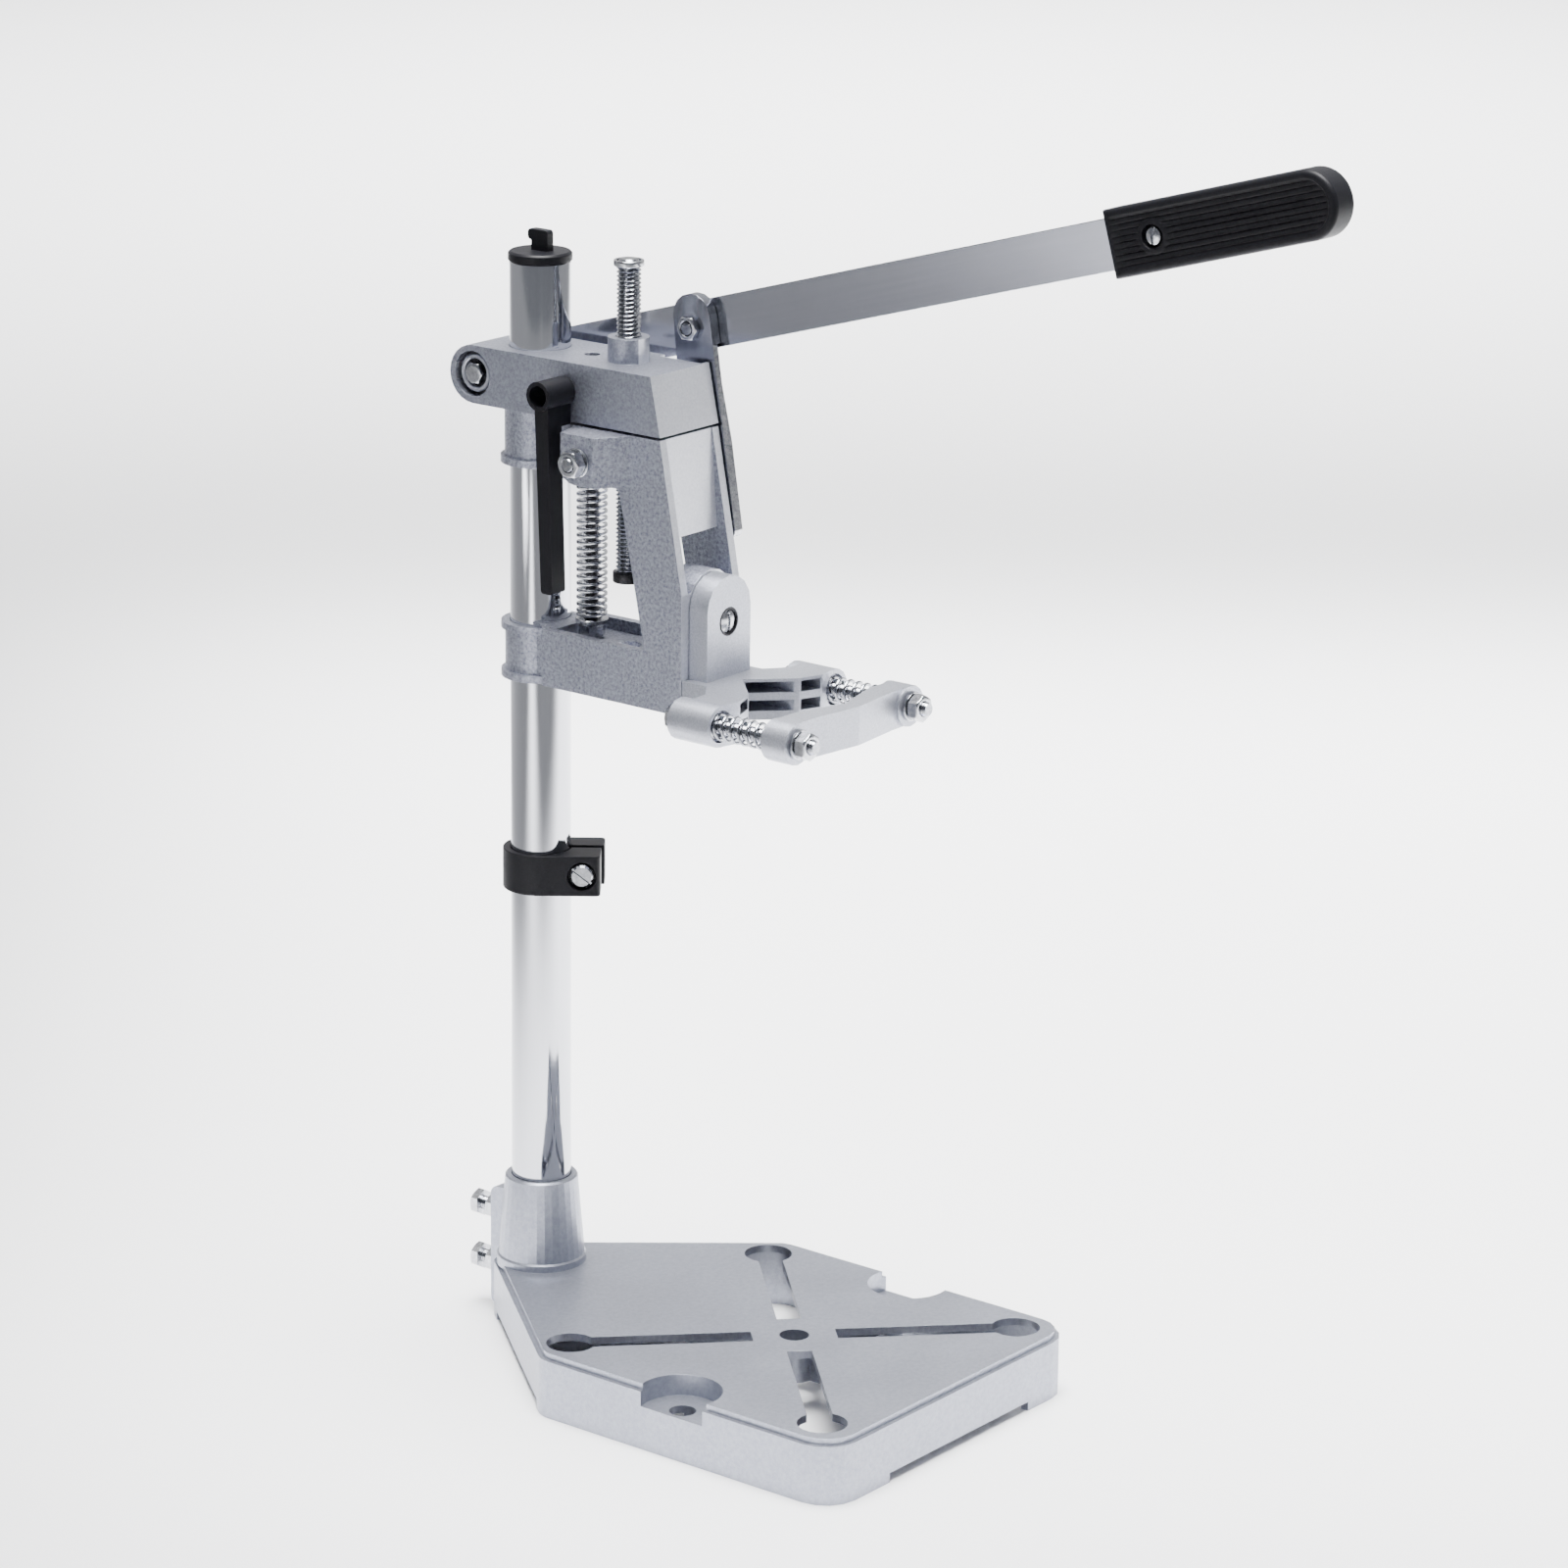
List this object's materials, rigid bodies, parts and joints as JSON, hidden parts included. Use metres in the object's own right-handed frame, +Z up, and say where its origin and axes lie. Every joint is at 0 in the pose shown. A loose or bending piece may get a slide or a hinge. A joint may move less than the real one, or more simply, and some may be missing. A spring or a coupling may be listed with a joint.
{
  "type": "drill stand",
  "caption": "Bench drill stand: slotted cast base, upright column, clamped head with a feed lever, and a sprung carriage with a tilting two-jaw tool clamp.",
  "frame": {"origin": "on the column's axis, at the table that the base stands on", "axes": "+Z up along the column; -Y is the front, where the tool clamp and the feed lever point; +X is the side of the feed lever and its link"},
  "size_m": [0.163, 0.4034, 0.5333],
  "materials": {
    "cast_aluminium": "sand-cast, light grey",
    "bright_sheet": "brushed",
    "chrome": "polished",
    "zinc": "zinc plated",
    "dark_steel": "blackened",
    "black_plastic": "moulded"
  },
  "bodies": {
    "base": {"base_casting": "cast_aluminium", "set_screw_lower": "zinc", "set_screw_upper": "zinc", "lock_nut_lower": "zinc", "lock_nut_upper": "zinc"},
    "column": {"column": "chrome", "column_cap": "black_plastic"},
    "collar": {"stop_collar": "black_plastic", "stop_collar_screw": "zinc", "stop_collar_nut": "zinc"},
    "head": {"head_block": "bright_sheet", "handle_pivot_bolt": "zinc", "handle_pivot_nut": "zinc", "handle_pivot_spacer": "zinc", "handle_pivot_washer": "zinc", "clamp_stud": "zinc", "spring_rod": "zinc", "spring_nut": "zinc", "spring_washer": "zinc", "return_spring": "zinc"},
    "clamp": {"clamp_lever": "black_plastic"},
    "depth_stop": {"depth_rod": "zinc", "depth_stop_ring": "dark_steel", "depth_top_ring": "dark_steel"},
    "carriage": {"carriage": "cast_aluminium", "carriage_ear_bolt": "zinc", "carriage_ear_nut": "zinc", "carriage_ear_washer": "zinc", "link_bottom_bolt": "zinc", "link_bottom_nut": "zinc", "link_bottom_spacer": "zinc", "tilt_bolt": "zinc", "tilt_washer": "zinc", "tilt_nut": "zinc"},
    "tool_clamp": {"tool_head": "cast_aluminium", "jaw_bolt_near": "zinc", "jaw_bolt_far": "zinc", "jaw_spring_near": "zinc", "jaw_spring_far": "zinc"},
    "front_clamp": {"front_jaw": "cast_aluminium", "jaw_washer_near": "zinc", "jaw_washer_far": "zinc", "jaw_nut_near": "zinc", "jaw_nut_far": "zinc"},
    "handle": {"handle_bar": "bright_sheet", "grip_near": "black_plastic", "grip_far": "black_plastic", "grip_screw": "zinc", "grip_nut": "zinc"},
    "link": {"link": "bright_sheet", "link_top_bolt": "zinc", "link_top_nut": "zinc", "link_top_spacer": "zinc", "link_top_washer": "zinc"}
  },
  "joints": [
    {"name": "column_swivel", "type": "hinge", "parent": "base", "child": "column", "pos_m": [0, 0, 0.0063], "axis": [0, 0, 1], "range_deg": [-90, 90]},
    {"name": "collar_slide", "type": "slide", "parent": "column", "child": "collar", "axis": [0, 0, 1], "range_m": [-0.115, 0]},
    {"name": "head_height", "type": "slide", "parent": "column", "child": "head", "axis": [0, 0, 1], "range_m": [-0.03, 0.034]},
    {"name": "clamp_turn", "type": "hinge", "parent": "head", "child": "clamp", "pos_m": [-0.0274, -0.029, 0.411], "axis": [1, 0, 0], "range_deg": [0, 90]},
    {"name": "depth_rod_height", "type": "slide", "parent": "head", "child": "depth_stop", "axis": [0, 0, 1], "range_m": [-0.026, 0]},
    {"name": "carriage_feed", "type": "slide", "parent": "head", "child": "carriage", "axis": [0, 0, -1], "range_m": [0, 0.036], "stiffness_N_per_m": 700, "springref_m": -0.03, "deforming": ["return_spring"]},
    {"name": "handle_turn", "type": "hinge", "parent": "head", "child": "handle", "pos_m": [0.0266, 0.0204, 0.4107], "axis": [1, 0, 0], "range_deg": [0, 24.5]},
    {"name": "link_turn", "type": "hinge", "parent": "handle", "child": "link", "pos_m": [0.0266, -0.06262, 0.43498], "axis": [1, 0, 0], "range_deg": [-21.5, 0]},
    {"name": "tool_head_tilt", "type": "hinge", "parent": "carriage", "child": "tool_clamp", "pos_m": [0, -0.0898, 0.3237], "axis": [0, 1, 0], "range_deg": [-90, 90]},
    {"name": "front_jaw_slide", "type": "slide", "parent": "tool_clamp", "child": "front_clamp", "axis": [0, 1, 0], "range_m": [0, 0.006], "stiffness_N_per_m": 400, "springref_m": -0.012, "deforming": ["jaw_spring_near", "jaw_spring_far"]}
  ],
  "couplings": [
    {"joint": "handle_turn", "follows": "carriage_feed", "rad_per_m": 11.65},
    {"joint": "link_turn", "follows": "carriage_feed", "rad_per_m": -10.166}
  ]
}
